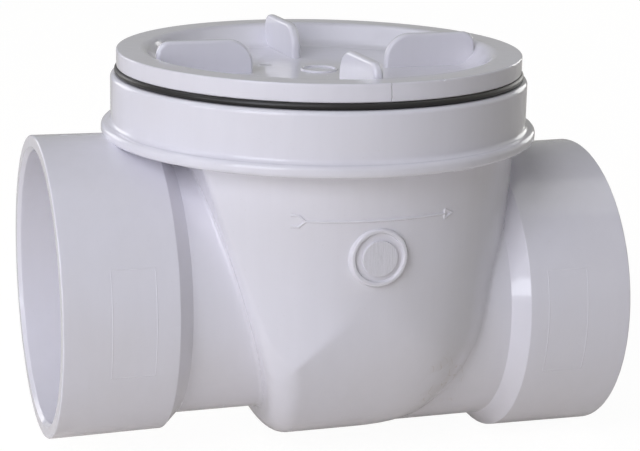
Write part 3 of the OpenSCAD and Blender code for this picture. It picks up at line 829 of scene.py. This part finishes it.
def whitePvc(name, w, weld=None, saw=None, rub=None):
    # moulded white plastic: faint flow lines, orange peel and a little dirt
    material, p = startPaint(name, {"IOR": w["ior"]})
    where = p.place()
    cloud = p.noise(where, 16, 3).clipped(0.35, 0.7)
    flow = p.noise(where, 1, 3, 0.6, (210, 210, 16))
    peel = p.noise(where, 420, 1)
    specks = p.noise(where, 900, 1).clipped(0.74, 0.80)
    smear = p.noise(where, 75, 4, 0.65).clipped(0.45, 0.75)
    colour = p.mix(cloud, w["clean"], w["dull"])
    colour = p.mix(flow.clipped(0.3, 0.7) * w["flowShare"], colour, w["flowTint"])
    colour = p.mix(specks * w["speckShare"], colour, w["speckTint"])
    roughness = w["roughness"] + smear * w["smearRough"] + specks * w["speckRough"]
    bump = peel * w["peel"] + flow * w["flow"]
    if rub:
        x, y, z = p.parts(where)
        warp = p.noise(where, 60, 2) * rub["warp"]
        slanted = (x + z * rub["slant"] + warp) * rub["perMetre"]
        line = 1 - abs(p.maths("SINE", slanted)).clipped(*rub["lineEdge"])
        patch = p.noise(where, 130, 2).clipped(0.45, 0.6)
        patch = patch * x.clipped(*rub["startX"]) * (1 - x.clipped(*rub["endX"]))
        patch = patch * (1 - z.clipped(*rub["endZ"])) * z.clipped(*rub["startZ"])
        patch = patch * (1 - y.clipped(*rub["endY"]))
        colour = p.mix(line * patch * rub["lineShare"], colour, rub["tint"])
        colour = p.mix(patch * rub["hazeShare"], colour, rub["tint"])
    if weld:
        x, y, z = p.parts(where)
        wander = p.noise(where, 300, 2) - 0.5
        line = 1 - abs(x - weld["x"] + wander * weld["wander"]).clipped(*weld["edge"])
        line = line * (1 - y.clipped(*weld["endY"])) * z.clipped(*weld["startZ"])
        colour = p.mix(line * weld["share"], colour, weld["tint"])
        bump = bump - line * weld["depth"]
    if saw:
        cuts = p.noise(where, 1, 4, 0.7, saw["stretch"])
        colour = p.mix(cuts.clipped(0.35, 0.7) * saw["share"], colour, saw["tint"])
        roughness = saw["roughness"] + cuts * saw["roughSpread"]
        bump = cuts * saw["depth"]
    p.finish(colour, roughness, bump, w["bumpDepth"])
    return material


greyPlastic = {
    "clean": (0.60, 0.60, 0.64), "dull": (0.54, 0.54, 0.57), "roughness": 0.26, "ior": 1.5,
    "smearRough": 0.1, "peel": 0.2, "bumpDepth": 0.0001,
}


def greyPvc(g):
    material, p = startPaint("greyPvc", {"IOR": g["ior"]})
    where = p.place()
    cloud = p.noise(where, 30, 3).clipped(0.3, 0.7)
    peel = p.noise(where, 500, 1)
    smear = p.noise(where, 90, 4, 0.65).clipped(0.4, 0.75)
    colour = p.mix(cloud, g["clean"], g["dull"])
    p.finish(colour, g["roughness"] + smear * g["smearRough"], peel * g["peel"], g["bumpDepth"])
    return material


rubber = {
    "clean": (0.011, 0.010, 0.009), "dusty": (0.04, 0.037, 0.031), "roughness": 0.34, "ior": 1.45,
    "dustShare": 0.4, "dustRough": 0.15, "grain": 0.3, "bumpDepth": 0.0001,
}


def blackRubber(r):
    material, p = startPaint("blackRubber", {"IOR": r["ior"]})
    where = p.place()
    dust = p.noise(where, 140, 5, 0.7).clipped(0.5, 0.8)
    fine = p.noise(where, 1500, 2)
    colour = p.mix(dust * r["dustShare"], r["clean"], r["dusty"])
    p.finish(colour, r["roughness"] + dust * r["dustRough"], fine * r["grain"], r["bumpDepth"])
    return material


steel = {
    "bright": (0.60, 0.595, 0.58), "dull": (0.46, 0.455, 0.44), "roughness": 0.24,
    "lineRough": 0.12, "stainRough": 0.08, "lines": 0.3, "bumpDepth": 0.00005,
}


def stainless(s):
    material, p = startPaint("stainless", {"Metallic": 1.0})
    where = p.place()
    lines = p.noise(where, 1, 3, 0.6, (180, 2400, 2400))
    stain = p.noise(where, 60, 4, 0.6).clipped(0.45, 0.75)
    roughness = s["roughness"] + lines * s["lineRough"] + stain * s["stainRough"]
    p.finish(p.mix(stain, s["bright"], s["dull"]), roughness, lines * s["lines"], s["bumpDepth"])
    return material


print("making the materials")
paints = {
    "white_pvc": whitePvc("whitePvc", whitePlastic),
    "grey_pvc": greyPvc(greyPlastic),
    "black_rubber": blackRubber(rubber),
    "stainless": stainless(steel),
}
coverPaint = whitePvc("coverPvc", whitePlastic, weld=weldLine)
sawnPaint = whitePvc("sawnPvc", whitePlastic, saw=sawMarks)
bodyPaint = whitePvc("bodyPvc", whitePlastic, rub=rubs)
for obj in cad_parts.values():
    for slot in obj.material_slots:
        slot.material = paints[slot.material.name.split(".")[0]]
for piece, paint in ((valveBody, bodyPaint), (raisedLines, paints["white_pvc"]), (accessCover, coverPaint),
                     (sawnStub, sawnPaint), (coverSeal, paints["black_rubber"])):
    piece.data.materials.clear()
    piece.data.materials.append(paint)

# soft lamps all round, each by its direction and height in degrees as seen from the front
lamps = {
    "key": {"turn": -45, "rise": 11, "size": 0.9, "power": (7.0, 7.0, 7.4)},
    "keyHigh": {"turn": -50, "rise": 34, "size": 0.9, "power": (9.8, 10.0, 11.6)},
    "frontHigh": {"turn": -26, "rise": 34, "size": 0.9, "power": (5.0, 5.0, 5.2)},
    "leftLow": {"turn": -80, "rise": 13, "size": 0.6, "power": (3.4, 3.5, 3.8)},
    "low": {"turn": -60, "rise": 4, "size": 0.4, "power": (2.4, 2.5, 2.7)},
    "left": {"turn": -113, "rise": 47, "size": 0.35, "power": (1.8, 1.8, 1.8)},
    "leftBack": {"turn": -150, "rise": 13, "size": 0.9, "power": (5.2, 5.1, 5.0)},
    "leftBackHigh": {"turn": -150, "rise": 60, "size": 0.9, "power": (3.4, 3.5, 3.7)},
    "rightHigh": {"turn": 80, "rise": 60, "size": 1.2, "power": (2.7, 2.8, 2.7)},
    "right": {"turn": 110, "rise": 14, "size": 0.9, "power": (1.0, 1.0, 1.0)},
    "rightBack": {"turn": 130, "rise": 11, "size": 0.8, "power": (5.0, 5.0, 4.9)},
    "top": {"turn": -60, "rise": 75, "size": 0.9, "power": (2.4, 2.4, 2.5)},
}
# the room: distance of the lamps and height that they aim at, in metres, what lights and what is mirrored,
# and the directions, in degrees, over which it turns warm and over which its back begins
surround = {
    "distance": 2.2, "aimZ": 0.09, "fill": 0.06, "mirrored": 0.75, "mirroredBack": 0.42,
    "left": (0.97, 0.98, 1.04), "right": (1.02, 1.01, 0.95), "turnsWarm": (45, 70), "turnsBack": (100, 130),
}
paper = {
    "colour": (0.94, 0.90, 0.83), "roughness": 0.8, "seen": 0.9, "mirrored": 0.08, "glow": 1.06, "half": 6,
}


def lightStudio():
    for name, l in lamps.items():
        data = bpy.data.lights.new(name, "AREA")
        data.size = l["size"]
        data.energy = max(l["power"])
        data.color = [v / data.energy for v in l["power"]]
        turn, rise = math.radians(l["turn"]), math.radians(l["rise"])
        away = Vector((math.sin(turn) * math.cos(rise), -math.cos(turn) * math.cos(rise), math.sin(rise)))
        lamp = bpy.data.objects.new(name, data)
        lamp.location = Vector((0, 0, surround["aimZ"])) + away * surround["distance"]
        lamp.rotation_euler = away.to_track_quat("Z", "Y").to_euler()
        bpy.context.scene.collection.objects.link(lamp)


def paintSurround(s):
    # white to the camera; what shines mirrors a room that is a little warmer on the right and darker behind
    world = bpy.data.worlds.new("studio")
    bpy.context.scene.world = world
    world.use_nodes = True
    p = Paint(world.node_tree, "Background")
    camera = p.add("LightPath")
    clear = p.maths("MAXIMUM", camera, p.other(camera, "Is Transmission Ray"))
    glossy = p.other(camera, "Is Glossy Ray")
    x, y = p.parts(p.place(0))[:2]
    turn = p.maths("ARCTAN2", x, y * -1) * math.degrees(1)
    behind = abs(turn).clipped(*s["turnsBack"])
    room = p.mix(turn.clipped(*s["turnsWarm"]), s["left"], s["right"])
    p.feed(p.shader.inputs["Color"], p.mix(glossy, (1, 1, 1), room))
    mirrored = s["mirrored"] - behind * (s["mirrored"] - s["mirroredBack"])
    strength = clear + (1 - clear) * (s["fill"] + glossy * (mirrored - s["fill"]))
    p.feed(p.shader.inputs["Strength"], strength)


def layFloor(f):
    # pale paper that the camera sees as white, with a trace of the shadow left
    mesh = bpy.data.meshes.new("floor")
    h = f["half"]
    mesh.from_pydata([(-h, -h, 0), (h, -h, 0), (h, h, 0), (-h, h, 0)], [], [(0, 1, 2, 3)])
    floor = bpy.data.objects.new("floor", mesh)
    bpy.context.scene.collection.objects.link(floor)
    material, p = startPaint("paper", {"Base Color": f["colour"], "Roughness": f["roughness"]})
    camera = p.add("LightPath")
    clear = p.maths("MAXIMUM", camera, p.other(camera, "Is Transmission Ray"))
    seen = clear * f["seen"] + p.other(camera, "Is Glossy Ray") * f["mirrored"]
    glow = p.add("Emission", None, {"Strength": f["glow"]})
    blend = p.add("MixShader", None, {0: seen, 1: Wire(p, p.shader.outputs[0]), 2: glow})
    p.tree.links.new(blend.socket, p.tree.nodes["Material Output"].inputs[0])
    mesh.materials.append(material)


bpy.context.scene.view_settings.view_transform = "Standard"
lightStudio()
paintSurround(surround)
layFloor(paper)
print("studio lit")
